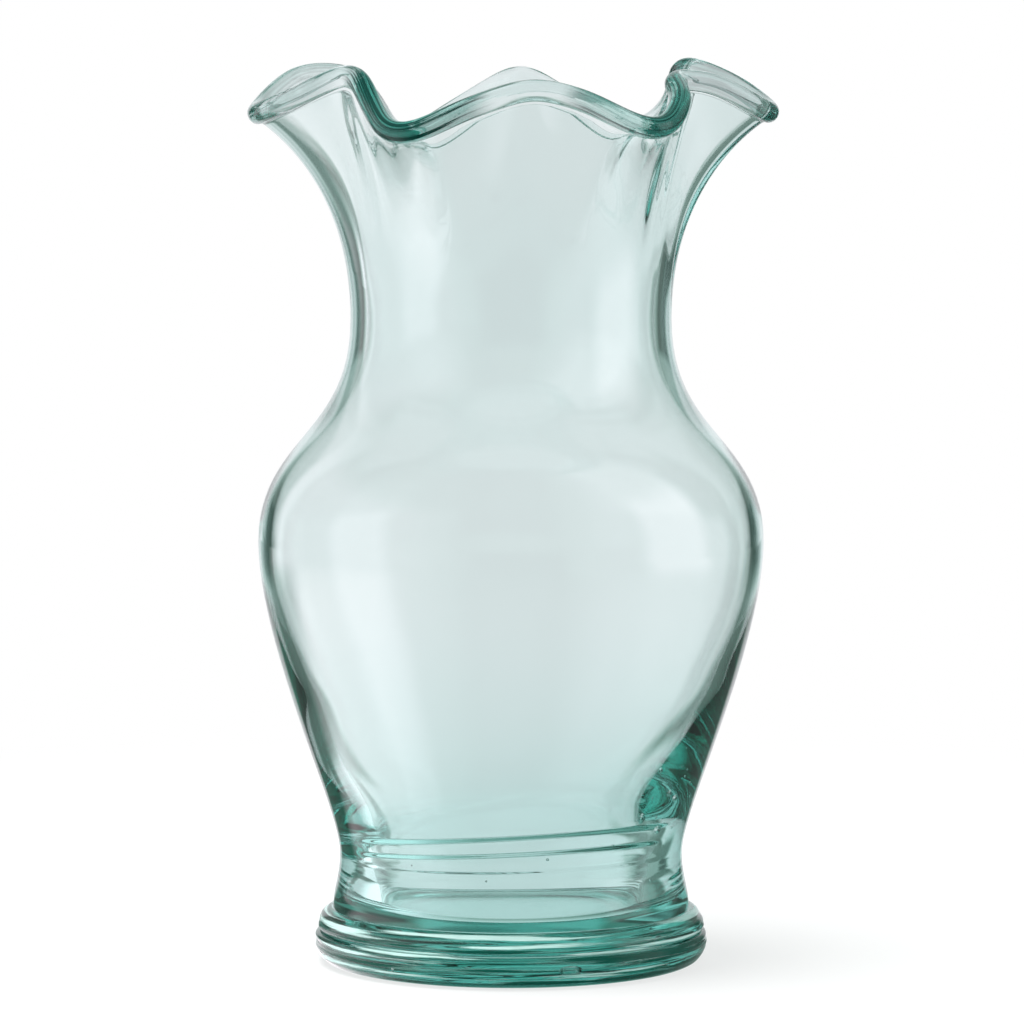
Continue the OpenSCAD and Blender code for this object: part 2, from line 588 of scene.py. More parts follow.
class MeshMaker:
    """Turns points in millimetres into finished mesh objects."""

    SHARP_ANGLE = 38.0

    @classmethod
    def make(
        cls,
        name: str,
        points: np.ndarray,
        faces: Faces,
        seams: list[bool],
        hollows: tuple[np.ndarray, Faces] | None = None,
    ) -> bpy.types.Object:
        """Builds an object from points and faces.

        Args:
            name: The object's name.
            points: Places in mm.
            faces: Corners of each face, seen anticlockwise from outside.
            seams: True for each face where two pieces were joined hot.
            hollows: Points and faces of the bubbles inside it.

        Returns:
            The object, linked to the scene.
        """
        if hollows is not None:
            faces = faces + [tuple(corner + len(points) for corner in face) for face in hollows[1]]
            seams = seams + [False] * len(hollows[1])
            points = np.concatenate([points, hollows[0]])
        mesh = bpy.data.meshes.new(name)
        mesh.from_pydata((points * MM).tolist(), [], faces)
        mark(mesh, SEAM, "FLOAT", "FACE", seams)
        return cls.finish(name, mesh)

    @classmethod
    def finish(cls, name: str, mesh: bpy.types.Mesh) -> bpy.types.Object:
        """Shades a mesh smooth but for its sharp edges and puts it in the scene.

        Args:
            name: The object's name.
            mesh: Its mesh.

        Returns:
            The object.
        """
        mesh.shade_smooth()
        mesh.set_sharp_from_angle(angle=math.radians(cls.SHARP_ANGLE))
        mesh.update()
        piece = bpy.data.objects.new(name, mesh)
        bpy.context.scene.collection.objects.link(piece)
        return piece

    @staticmethod
    def skin(
        rings: int,
        sides: int,
        seam_sides: set[int],
        caps: tuple[int, int] | None = None,
        cap_seams: tuple[bool, bool] = (False, False),
    ) -> tuple[Faces, list[bool]]:
        """Faces between neighbouring sections all round the vase.

        Args:
            rings: How many sections there are.
            sides: How many points each section has.
            seam_sides: The sides of the section that are seams.
            caps: Numbers of the two points that close the first and the last points. A
                section without them is closed in itself.
            cap_seams: True where the first or the last cap is a seam.

        Returns:
            The faces, and True for each that is a seam.
        """
        faces, seams = [], []
        for i in range(rings):
            a, b = i * sides, (i + 1) % rings * sides
            for j in range(sides if caps is None else sides - 1):
                k = (j + 1) % sides
                faces.append((a + j, b + j, b + k, a + k))
                seams.append(j in seam_sides)
            if caps is not None:
                faces += [(caps[0], b, a), (caps[1], a + sides - 1, b + sides - 1)]
                seams += cap_seams
        return faces, seams


def dress(
    piece: bpy.types.Object, node: str, material: bpy.types.Material
) -> bpy.types.Object:
    """Gives a piece its finish and ties it to the frame.

    Args:
        piece: The piece.
        node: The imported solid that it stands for.
        material: Its finish.

    Returns:
        The same piece.
    """
    piece.data.materials.clear()
    piece.data.materials.append(material)
    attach(piece, BODY)
    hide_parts(node)
    return piece


class GeometryTree:
    """A geometry tree with named inputs that makes a finished mesh from a plain one."""

    def __init__(self, name: str, inputs: dict[str, str], finish: bpy.types.Material) -> None:
        """Makes the tree.

        Args:
            name: The tree's name.
            inputs: Names and socket types of the inputs besides the geometry.
            finish: The material of the result.
        """
        self.tree = bpy.data.node_groups.new(name, "GeometryNodeTree")
        interface = self.tree.interface
        self.sockets: dict[str, str] = {}
        for label, kind in {"Geometry": "NodeSocketGeometry", **inputs}.items():
            socket = interface.new_socket(label, in_out="INPUT", socket_type=kind)
            self.sockets[label] = socket.identifier
        interface.new_socket("Geometry", in_out="OUTPUT", socket_type="NodeSocketGeometry")
        graph = Graph(self.tree)
        start = graph.node("NodeGroupInput")
        solid = self.shape(graph, {label: graph.wire(start, label) for label in self.sockets})
        solid = graph.out("GeometryNodeRealizeInstances", None, {0: solid})
        values = {"Geometry": solid, "Material": finish}
        solid = graph.out("GeometryNodeSetMaterial", None, values)
        graph.link(solid, graph.node("NodeGroupOutput").inputs[0])

    def shape(self, graph: Graph, sizes: dict[str, Wire]) -> Wire:
        """Adds the nodes that make the shape.

        Args:
            graph: The tree's nodes.
            sizes: The tree's inputs by name.

        Returns:
            The shape.
        """
        raise NotImplementedError

    def grow(self, source: bpy.types.Mesh, sizes: dict[str, float]) -> bpy.types.Mesh:
        """Runs the tree on a mesh.

        Args:
            source: The mesh that it starts from.
            sizes: A value for each input by name.

        Returns:
            The result as a plain mesh.
        """
        carrier = bpy.data.objects.new(source.name, source)
        bpy.context.scene.collection.objects.link(carrier)
        modifier = carrier.modifiers.new(self.tree.name, "NODES")
        modifier.node_group = self.tree
        for label, value in sizes.items():
            modifier[self.sockets[label]] = value
        bpy.context.view_layer.update()
        solid = carrier.evaluated_get(bpy.context.evaluated_depsgraph_get())
        mesh = bpy.data.meshes.new_from_object(solid)
        bpy.data.objects.remove(carrier)
        return mesh

    @staticmethod
    def named(graph: Graph, name: str, kind: str = "FLOAT") -> Wire:
        """A number or a vector that the mesh or the line carries."""
        values = {"Name": name}
        return graph.out("GeometryNodeInputNamedAttribute", {"data_type": kind}, values)

    @staticmethod
    def store(graph: Graph, geometry: Wire, domain: str, name: str, value: Wire) -> Wire:
        """Gives a geometry a named number on its points or faces.

        Args:
            graph: The node tree.
            geometry: The geometry.
            domain: POINT or FACE.
            name: The number's name.
            value: The number.

        Returns:
            The geometry with that number.
        """
        settings = {"data_type": "FLOAT", "domain": domain}
        values = {"Geometry": geometry, "Name": name, "Value": value}
        return graph.out("GeometryNodeStoreNamedAttribute", settings, values)


class BubbleTree(GeometryTree):
    """Sets a hollow ball at each point of a cloud."""

    def __init__(self, finish: bpy.types.Material) -> None:
        """Makes the tree with the material of the glass round the bubbles."""
        super().__init__("bubbles", {"Detail": "NodeSocketInt"}, finish)

    def shape(self, graph: Graph, sizes: dict[str, Wire]) -> Wire:
        """Adds the nodes that set a hollow ball at each place.

        Args:
            graph: The node tree.
            sizes: The tree's inputs by name.

        Returns:
            The balls.
        """
        values = {"Radius": 1.0, "Subdivisions": sizes["Detail"]}
        ball = graph.out("GeometryNodeMeshIcoSphere", None, values)
        turn = self.named(graph, "turn", "FLOAT_VECTOR")
        return graph.out(
            "GeometryNodeInstanceOnPoints",
            None,
            {
                "Points": sizes["Geometry"],
                "Instance": graph.out("GeometryNodeFlipFaces", None, {0: ball}),
                "Rotation": graph.out("FunctionNodeEulerToRotation", None, {0: turn}),
                "Scale": self.named(graph, "extent", "FLOAT_VECTOR"),
            },
        )


@dataclass(frozen=True)
class Bubbles:
    """Bubbles caught in a piece of glass, as closed hollows inside it.

    Attributes:
        marks: Azimuth, radius, height, half the length round the vase and half the height of
            each large bubble.
        count: How many small seeds there are besides.
        azimuths: Least and greatest azimuth of the seeds.
        radii: Least and greatest distance of the seeds from the axis.
        heights: Least and greatest height of the seeds.
        sizes: Least and greatest radius of a seed.
        seed: Picks another scatter.
        detail: How finely each bubble is divided.
    """

    marks: tuple[tuple[float, float, float, float, float], ...]
    count: int
    azimuths: Pair
    radii: Pair
    heights: Pair
    sizes: Pair
    seed: int
    detail: int = 3

    def places(self) -> np.ndarray:
        """All bubbles, the small seeds after the large ones, as rows like the marks.

        Returns:
            One row for each bubble.
        """
        spread = np.random.default_rng(self.seed)
        limits = (self.azimuths, self.radii, self.heights)
        scatter = [spread.uniform(*ends, self.count) for ends in limits]
        size = spread.uniform(*self.sizes, self.count)
        return np.concatenate([np.array(self.marks), np.stack([*scatter, size, size], axis=1)])

    def hollows(self, finish: bpy.types.Material) -> tuple[np.ndarray, Faces]:
        """Makes the bubbles' walls with Geometry Nodes.

        Args:
            finish: The material of the glass round them.

        Returns:
            Points in mm, and faces that are seen from inside a bubble.
        """
        rows = self.places()
        cloud = bpy.data.meshes.new("bubbles")
        centres = placed(rows[:, 0], rows[:, 1], rows[:, 2])
        cloud.from_pydata((centres * MM).tolist(), [], [])
        level = np.zeros(len(rows))
        turn = np.stack([level, level, np.radians(rows[:, 0])], axis=1)
        mark(cloud, "extent", "FLOAT_VECTOR", "POINT", rows[:, [3, 4, 4]] * MM)
        mark(cloud, "turn", "FLOAT_VECTOR", "POINT", turn)
        mesh = BubbleTree(finish).grow(cloud, {"Detail": self.detail})
        return places_of(mesh), [tuple(face.vertices) for face in mesh.polygons]


@dataclass
class Lip:
    """The ruffled line of the lip, and the trail of glass wrapped along it.

    Attributes:
        wrap_radius: Radius of the trail's section.
        height: Height of the highest fold above the table.
        drop: How far the lowest lobe hangs below the highest fold.
        lobe_reach: Distance of the furthest lobe from the axis.
        fold_reach: Distance of the innermost fold from the axis.
        seat_half: Half the width of the seat where the wall runs into the trail.
        fold_lean: Lean of the wall at the innermost fold, in degrees above level.
        lobe_lean: Lean of the wall at the furthest lobe.
        gap: Play at the seat that keeps the two solids apart.
        steps: Sections round the lip.
        softness: How far round the lip a bend is eased, in degrees.
        sides: Points round the trail's section.
        streak_depth: Depth of the streaks along the trail.
        painted_parts: Azimuth, reach in degrees and depth of each part covered by painted shade.
        painted_edge: Share of that reach over which the painted shade comes in.
        shares: Azimuth, share of the reach and share of the drop, round the lip.
        EASING: How far an eased bend reaches, in times the softness.
        EASING_STEPS: How many places the easing takes together.
        ASIDE: How far to either side the lip's direction is taken, in degrees.
    """

    EASING: ClassVar[float] = 2.0
    EASING_STEPS: ClassVar[int] = 9
    ASIDE: ClassVar[float] = 1.0
    wrap_radius: float = 2.9
    height: float = 236.5
    drop: float = 21.0
    lobe_reach: float = 68.5
    fold_reach: float = 49.0
    seat_half: float = 2.45
    fold_lean: float = 84.0
    lobe_lean: float = 30.0
    gap: float = 0.02
    steps: int = 480
    sides: int = 72
    softness: float = 3.0
    streak_depth: float = 0.05
    # Parts of the trail covered by painted shade in the teal of the glass.
    painted_parts: tuple[Triple, ...] = (
        (-29.0, 25.0, 1.0), (36.5, 24.0, 0.85), (-92.0, 40.0, 0.28), (93.0, 40.0, 0.28),
    )
    painted_edge: float = 0.35
    shares: tuple[Triple, ...] = (
        (-90, 0.89, 0.54), (-70, 0.73, 0.38), (-52, 0.18, 0.00), (-38, 0.43, 0.38),
        (-24, 1.00, 0.66), (-11, 0.61, 0.36), (5, 0.28, 0.14), (19, 0.49, 0.27),
        (33, 0.93, 0.62), (48, 0.50, 0.30), (60, 0.00, 0.10), (75, 0.34, 0.17),
        (90, 0.98, 0.56), (105, 0.62, 0.24), (120, 0.20, 0.04), (136, 0.64, 0.55),
        (151, 0.95, 0.90), (164, 0.64, 0.57), (177, 0.21, 0.19), (191, 0.68, 0.56),
        (205, 0.97, 1.00), (219, 0.48, 0.54), (234, 0.18, 0.18), (252, 0.53, 0.14),
    )

    @property
    def seat_depth(self) -> float:
        """Distance from the trail's middle to its seat."""
        return math.sqrt(self.wrap_radius**2 - self.seat_half**2)

    def share(self, azimuth: np.ndarray, ruffle: Ruffle) -> np.ndarray:
        """The lip's share of its reach or drop, with its bends eased as in soft glass.

        Args:
            azimuth: Angles round the vase, in degrees.
            ruffle: The reach or the drop.

        Returns:
            One share for each angle.
        """
        offsets = np.linspace(-self.EASING, self.EASING, self.EASING_STEPS)
        weights = np.exp(-(offsets**2) / 2)
        parts = [
            weight * self._through_table(azimuth + offset * self.softness, ruffle)
            for offset, weight in zip(offsets, weights / weights.sum())
        ]
        return np.sum(parts, axis=0)

    def _through_table(self, azimuth: np.ndarray, ruffle: Ruffle) -> np.ndarray:
        """The share of the reach or drop, on a closed curve through the table's places.

        Args:
            azimuth: Angles round the vase, in degrees.
            ruffle: The reach or the drop.

        Returns:
            One share for each angle.
        """
        table = np.array(self.shares)
        turn = np.array([FULL_TURN, 0.0, 0.0])
        knots = np.concatenate([table[-1:] - turn, table, table[:2] + turn])
        q = (np.asarray(azimuth, float) - table[0, 0]) % FULL_TURN + table[0, 0]
        i = np.searchsorted(table[:, 0], q, side="right")
        p, v = knots[:, 0], knots[:, ruffle.value]
        span = p[i + 1] - p[i]
        leaving = (v[i + 1] - v[i - 1]) / (p[i + 1] - p[i - 1]) * span
        arriving = (v[i + 2] - v[i]) / (p[i + 2] - p[i]) * span
        return hermite(v[i], v[i + 1], leaving, arriving, (q - p[i]) / span)

    def middle(self, azimuth: np.ndarray) -> np.ndarray:
        """The trail's middle line at each angle.

        Args:
            azimuth: Angles round the vase, in degrees.

        Returns:
            One point for each angle.
        """
        span = self.lobe_reach - self.fold_reach
        reach = self.fold_reach + span * self.share(azimuth, Ruffle.REACH)
        height = self.height - self.drop * self.share(azimuth, Ruffle.DROP)
        return placed(azimuth, reach, height)

    def directions(self, azimuth: np.ndarray) -> tuple[np.ndarray, np.ndarray]:
        """Up the wall into the lip, and out through the wall, at each angle.

        Args:
            azimuth: Angles round the vase, in degrees.

        Returns:
            Two unit vectors for each angle.
        """
        aside = self.ASIDE
        along = unit(self.middle(azimuth + aside) - self.middle(azimuth - aside))
        span = self.lobe_lean - self.fold_lean
        lean = self.fold_lean + span * self.share(azimuth, Ruffle.REACH)
        lean = np.radians(lean)[:, None]
        rise = np.cos(lean) * outward(azimuth) + np.sin(lean) * np.array([0.0, 0.0, 1.0])
        up = unit(rise - np.sum(rise * along, axis=1, keepdims=True) * along)
        return up, np.cross(along, up)

    def wall_edge(self, azimuth: np.ndarray, side: Side, half: float) -> np.ndarray:
        """Edge of one side of the wall at its seat, half its width from the middle.

        Args:
            azimuth: Angles round the vase, in degrees.
            side: The side of the wall.
            half: Half the wall's thickness.

        Returns:
            One point for each angle.
        """
        up, out = self.directions(azimuth)
        below = (self.seat_depth + self.gap) * up
        return self.middle(azimuth) - below + side.value * half * out

    def painted_tone_at(self, azimuth: np.ndarray) -> np.ndarray:
        """How strongly the trail is covered by painted shade at each angle, between 0 and 1.

        Args:
            azimuth: Angles round the vase, in degrees.

        Returns:
            One depth for each angle.
        """
        total = np.zeros_like(azimuth)
        for middle, reach, depth in self.painted_parts:
            apart = np.abs(wrapped(azimuth - middle))
            total += depth * ease(0.0, self.painted_edge, 1 - apart / reach)
        return total

    def build(self, finish: bpy.types.Material) -> bpy.types.Object:
        """Sweeps the trail along the lip with Geometry Nodes.

        Args:
            finish: The trail's material.

        Returns:
            The trail of glass as a plain mesh object.
        """
        azimuth = around(self.steps)
        line = bpy.data.meshes.new("lip_line")
        edges = [(i, (i + 1) % self.steps) for i in range(self.steps)]
        line.from_pydata((self.middle(azimuth) * MM).tolist(), edges, [])
        mark(line, "up_wall", "FLOAT_VECTOR", "POINT", self.directions(azimuth)[0])
        # Where painted shade covers the trail.
        mark(line, PAINTED_TONE, "FLOAT", "POINT", self.painted_tone_at(azimuth))
        sizes = {
            "Radius": self.wrap_radius * MM,
            "Half Seat Angle": math.asin(self.seat_half / self.wrap_radius),
            "Sides": self.sides,
            "Streak Depth": self.streak_depth * MM,
        }
        return MeshMaker.finish("lip_trail", TrailSweep(finish).grow(line, sizes))

    def dressed(self, finish: bpy.types.Material) -> bpy.types.Object:
        """The trail in its glass, tied to the frame."""
        return dress(self.build(finish), "lip_wrap", finish)


class TrailSweep(GeometryTree):
    """Lays a round trail with a flat seat along a closed line.

    Attributes:
        BOTH_ENDS: Mean of the seat's ends above which a face lies between them.
        STREAKS_ROUND: How quickly the streaks change round the section.
        STREAK_SCALE: How quickly they change along the trail, in each metre.
        STREAK_LEVEL: Noise level of the trail's plain surface, below which it sinks.
        STREAK_GAIN: Depth of the streaks at the lowest noise, in times the streak depth.
        SEAT_FADE: How quickly the streaks come in beside the seat.
    """

    BOTH_ENDS = 0.9
    STREAKS_ROUND = 1.2
    STREAK_SCALE = 22.0
    STREAK_LEVEL = 0.75
    STREAK_GAIN = 2.0
    SEAT_FADE = 12.0

    def __init__(self, finish: bpy.types.Material) -> None:
        """Makes the tree with the trail's material.

        Args:
            finish: The trail's material.
        """
        inputs = {
            "Radius": "NodeSocketFloat",
            "Half Seat Angle": "NodeSocketFloat",
            "Sides": "NodeSocketInt",
            "Streak Depth": "NodeSocketFloat",
        }
        super().__init__("lip_sweep", inputs, finish)

    def shape(self, graph: Graph, sizes: dict[str, Wire]) -> Wire:
        """Adds the nodes that sweep the trail and mark its seat.

        Args:
            graph: The node tree.
            sizes: The tree's inputs by name.

        Returns:
            The trail.
        """
        curve = graph.out("GeometryNodeMeshToCurve", None, {"Mesh": sizes["Geometry"]})
        values = {"Curve": curve, "Normal": self.named(graph, "up_wall", "FLOAT_VECTOR")}
        curve = graph.out("GeometryNodeSetCurveNormal", {"mode": "FREE"}, values)
        values = {"Curve": curve, "Profile Curve": self._section(graph, sizes)}
        tube = graph.out("GeometryNodeCurveToMesh", None, values)
        tube = self._streaks(graph, tube, sizes["Streak Depth"])
        ends = self.named(graph, "seat_end")
        both = graph.math("GREATER_THAN", ends, self.BOTH_ENDS)
        return self.store(graph, tube, "FACE", SEAM, both)

    def _section(self, graph: Graph, sizes: dict[str, Wire]) -> Wire:
        """The trail's section: an arc whose open side is the seat.

        Args:
            graph: The node tree.
            sizes: The tree's inputs by name.

        Returns:
            The section as a curve.
        """
        half = sizes["Half Seat Angle"]
        arc = graph.out(
            "GeometryNodeCurveArc",
            {"mode": "RADIUS"},
            {
                "Resolution": sizes["Sides"],
                "Radius": sizes["Radius"],
                "Start Angle": half - math.pi,
                "Sweep Angle": math.tau - half * 2.0,
            },
        )
        along = graph.out("GeometryNodeSplineParameter", output="Factor")
        arc = self.store(graph, arc, "POINT", ROUND, along)
        ends = graph.out("GeometryNodeCurveEndpointSelection")
        arc = self.store(graph, arc, "POINT", "seat_end", ends)
        values = {"Geometry": arc, "Cyclic": True}
        return graph.out("GeometryNodeSetSplineCyclic", None, values)

    def _streaks(self, graph: Graph, tube: Wire, depth: Wire) -> Wire:
        """Shallow streaks that run along the trail and drift slowly round it.

        Args:
            graph: The node tree.
            tube: The swept trail.
            depth: Depth of the streaks.

        Returns:
            The trail with its streaks.
        """
        place_round = self.named(graph, ROUND)
        noise = graph.out(
            "ShaderNodeTexNoise",
            {"noise_dimensions": "4D"},
            {
                "Vector": graph.out("GeometryNodeInputPosition"),
                "W": place_round * self.STREAKS_ROUND,
                "Scale": self.STREAK_SCALE,
                "Detail": 1.0,
            },
            "Fac",
        )
        edge = graph.math("MINIMUM", place_round, 1.0 - place_round)
        inside = graph.math("MINIMUM", edge * self.SEAT_FADE, 1.0)
        rise = (noise - self.STREAK_LEVEL) * depth * self.STREAK_GAIN * inside
        values = {0: graph.out("GeometryNodeInputNormal"), "Scale": rise}
        lift = graph.out("ShaderNodeVectorMath", {"operation": "SCALE"}, values)
        return graph.out("GeometryNodeSetPosition", None, {"Geometry": tube, "Offset": lift})


@dataclass
class Vessel:
    """The blown vessel, from its thick floor to the ruffled rim.

    Places are a radius and a height above the table, both in mm.

    Attributes:
        bottom: Outer edge of the bottom, where it lies on the foot.
        seat: Where the outer wall leaves the foot's ring.
        waist: Narrowest place of the outer wall below the belly.
        belly: Widest place of the outer wall.
        neck: Narrowest place of the outer wall above the belly.
        neck_wall: Thickness of the wall at the neck.
        belly_wall: Thickness of the wall at the belly.
        rim_half: Half the thickness of the wall below the lip.
        floor: Height of the floor inside.
        well_radius: Radius of the well above that floor.
        well_corner: Size of the round in the well's corner.
        throat: Where the inner wall is narrowest above the well.
        bowl: Where the inner wall widens above the throat.
        seat_waist_shares: Pulls of the curve between seat and waist, at either end.
        waist_belly_shares: The same between waist and belly.
        belly_neck_shares: The same between belly and neck.
        neck_lip_shares: The same between neck and lip.
        well_throat_shares: The same between the well's corner and the throat.
        ledge_shares: The same between throat and bowl.
        bowl_belly_shares: The same between bowl and belly, inside.
        sectors: Sections round the vase.
        body_steps: Steps from waist to belly and from belly to neck.
        flare_steps: Steps from the neck to the lip.
        edge_steps: Steps over the wall's last bit below the lip.
        edge_share: That bit, as a share of the flare.
        seat_steps: Steps from the seat to the waist.
        corner_steps: Steps round the well's corner.
        floor_rings: First radius, distance of the last from the corner, and their number.
        trace_steps: Steps of the curves through which the inner wall is laid.
        bowl_steps: Steps from the folds to the belly.
        gap: Play at the seat that keeps two solids apart.
        inner_waves: Slow waves of the inner wall.
        inner_depth: Their depth.
        inner_start: Heights over which they come in.
        calm_zone: Heights over which they calm down.
        calm_share: What is left of them above.
        neck_zone: Heights over which the waves of either side end.
        ledge_tilt: Lift of the ledge round the throat, and its tilt sideways and forward.
        ledge_reach: How far below and above the bowl's start the wall is lifted with it.
        eased_zone: Heights between which the throat runs smoothly into the bowl.
        fold_zone: Heights between which the rows lie close, for the folds.
        fold_steps: Steps between those heights.
        well_steps: Steps up the well below them.
        well_waves: Ripples at the back of the well.
        well_depth: Their depth.
        well_start: Heights over which they come in.
        well_end: Heights over which they end.
        well_back: Degrees from the front over which they come in.
        fold_span: Degrees from the front over which the folds end.
        folds: Height, depth and width of each small fold of the ledge.
        fold_fade: Height over which a fold comes in from below.
        ruffle_reach: Degrees from the front over which the lip's ruffles show lower down.
        ruffle_blur: How far round, and by what share, they are evened out in front.
        bubbles: The bubbles in the wall.
        outer_waves: Slow waves of the outer wall.
        outer_depth: Their depth.
        outer_start: Heights over which they come in.
        SLOPE_STEP: Height over which a slope is taken.
    """

    SLOPE_STEP: ClassVar[float] = 1.0
    bottom: Pair = (44.6, 8.4)
    seat: Pair = (47.2, 14.5)
    waist: Pair = (45.4, 29.0)
    belly: Pair = (66.8, 112.0)
    neck: Pair = (42.3, 171.0)
    neck_wall: float = 4.4
    belly_wall: float = 3.4
    rim_half: float = 1.6
    floor: float = 15.0
    well_radius: float = 35.4
    well_corner: float = 2.5
    throat: Pair = (33.8, 36.0)
    bowl: Pair = (37.5, 40.0)
    seat_waist_shares: Pair = (0.35, 0.45)
    waist_belly_shares: Pair = (0.14, 0.33)
    belly_neck_shares: Pair = (0.46, 0.53)
    neck_lip_shares: Pair = (0.62, 0.16)
    well_throat_shares: Pair = (0.6, 0.3)
    ledge_shares: Pair = (0.15, 0.15)
    bowl_belly_shares: Pair = (0.05, 0.43)
    sectors: int = 320
    body_steps: int = 24
    flare_steps: int = 36
    edge_steps: int = 6
    edge_share: float = 0.05
    seat_steps: int = 8
    corner_steps: int = 8
    floor_rings: tuple[float, float, int] = (2.0, 1.0, 6)
    trace_steps: tuple[int, int, int] = (20, 20, 80)
    bowl_steps: int = 31
    gap: float = 0.02
    inner_waves: Waves = Waves(20.0, 1.2, 3)
    inner_depth: float = 0.03
    inner_start: Pair = (16.0, 26.0)
    calm_zone: Pair = (70.0, 130.0)
    calm_share: float = 0.15
    neck_zone: Pair = (160.0, 171.0)
    ledge_tilt: Triple = (-2.5, 2.4, 2.0)
    ledge_reach: Pair = (20.0, 36.0)
    eased_zone: Pair = (27.0, 58.0)
    fold_zone: Pair = (24.0, 42.0)
    fold_steps: int = 59
    well_steps: int = 27
    well_waves: Waves = Waves(2.9, 1.3, 12)
    well_depth: float = 0.24
    well_start: Pair = (17.5, 19.0)
    well_end: Pair = (22.5, 25.0)
    well_back: Pair = (75.0, 105.0)
    fold_span: Pair = (50.0, 76.0)
    folds: tuple[Triple, ...] = ((39.8, 0.75, 1.5), (35.0, 1.0, 2.0), (29.5, 0.5, 2.2))
    fold_fade: float = 6.0
    ruffle_reach: Pair = (48.0, 68.0)
    ruffle_blur: Pair = (26.0, 0.75)
    bubbles: Bubbles = Bubbles(
        marks=(
            (58.5, 42.2, 39.0, 1.2, 1.2), (66.0, 43.0, 47.5, 0.7, 1.0),
            (-62.0, 42.8, 30.0, 0.8, 0.6),
        ),
        count=9,
        azimuths=(-130.0, 130.0),
        radii=(41.6, 43.2),
        heights=(24.0, 46.0),
        sizes=(0.2, 0.4),
        seed=14,
    )
    outer_waves: Waves = Waves(46.0, 0.8, 8)
    outer_depth: float = 0.05
    outer_start: Pair = (14.5, 22.0)

    def outer_line(self) -> np.ndarray:
        """The outer wall below the neck, as radius and height, from the bottom up.

        Returns:
            Rows of radius and height.
        """
        seat = (self.seat[0], self.seat[1] + self.gap)
        return np.concatenate([
            [self.bottom, (self.bottom[0], seat[1]), seat],
            upright_curve(seat, self.waist, self.seat_waist_shares, self.seat_steps),
            upright_curve(self.waist, self.belly, self.waist_belly_shares, self.body_steps),
            upright_curve(self.belly, self.neck, self.belly_neck_shares, self.body_steps),
        ])

    def inner_line(self) -> np.ndarray:
        """The inner wall below the neck, as radius and height, from the floor up.

        Returns:
            Rows of radius and height.
        """
        turn = np.radians(np.linspace(0.0, 90.0, self.corner_steps + 1))
        corner = np.stack([
            self.well_radius - self.well_corner * (1 - np.sin(turn)),
            self.floor + self.well_corner * (1 - np.cos(turn)),
        ], axis=1)
        first, margin, count = self.floor_rings
        floor = [(r, self.floor) for r in np.linspace(first, corner[0, 0] - margin, count)]
        belly = (self.belly[0] - self.belly_wall, self.belly[1])
        neck = (self.neck[0] - self.neck_wall, self.neck[1])
        well_steps, ledge_steps, bowl_steps = self.trace_steps
        wall = np.concatenate([
            corner[-1:],
            upright_curve(tuple(corner[-1]), self.throat, self.well_throat_shares, well_steps),
            upright_curve(self.throat, self.bowl, self.ledge_shares, ledge_steps),
            upright_curve(self.bowl, belly, self.bowl_belly_shares, bowl_steps),
        ])
        low, high = self.fold_zone
        height = np.concatenate([
            np.linspace(corner[-1, 1], low, self.well_steps + 1)[1:],
            np.linspace(low, high, self.fold_steps + 1)[1:],
            np.linspace(high, belly[1], self.bowl_steps + 1)[1:],
        ])
        return np.concatenate([
            floor, corner,
            np.stack([self.eased(wall, height), height], axis=1),
            upright_curve(belly, neck, self.belly_neck_shares, self.body_steps),
        ])

    def eased(self, wall: np.ndarray, height: np.ndarray) -> np.ndarray:
        """The inner wall's radii at some heights, smooth where the throat meets the bowl.

        Args:
            wall: The wall's line, as rows of radius and height.
            height: Heights above the table, in mm.

        Returns:
            One radius for each height.
        """
        low, high = self.eased_zone
        step = self.SLOPE_STEP
        probes = [low, low + step, high - step, high]
        start, after, before, end = np.interp(probes, wall[:, 1], wall[:, 0])
        leaving, arriving = np.array([after - start, end - before]) * (high - low) / step
        t = np.clip((height - low) / (high - low), 0.0, 1.0)
        smooth = hermite(start, end, leaving, arriving, t)
        inside = (height > low) & (height < high)
        return np.where(inside, smooth, np.interp(height, wall[:, 1], wall[:, 0]))

    def fold(self, height: np.ndarray) -> np.ndarray:
        """How far the small folds at the front of the ledge reach inwards, in mm.

        Args:
            height: Heights above the table, in mm.

        Returns:
            One depth for each height.
        """
        total = np.zeros_like(height)
        for middle, depth, width in self.folds:
            start, end = middle - width / 2, middle + width / 2
            rise = ease(start - self.fold_fade, start, height)
            total -= depth * rise * (1 - ease(start, end, height))
        return total

    def tilt(self, azimuth: np.ndarray, height: np.ndarray) -> np.ndarray:
        """How far the ledge round the throat is lifted at each place, in mm.

        Args:
            azimuth: Angles round the vase, in degrees.
            height: Heights above the table, in mm.

        Returns:
            One lift for each place.
        """
        lift, sideways, forward = self.ledge_tilt
        turn = np.radians(azimuth)
        below, above = self.ledge_reach
        near = ease(-1.0, 0.0, (height - self.bowl[1]) / below)
        near = near * (1.0 - ease(0.0, 1.0, (height - self.bowl[1]) / above))
        return near * (lift + sideways * np.sin(turn) + forward * np.cos(turn))

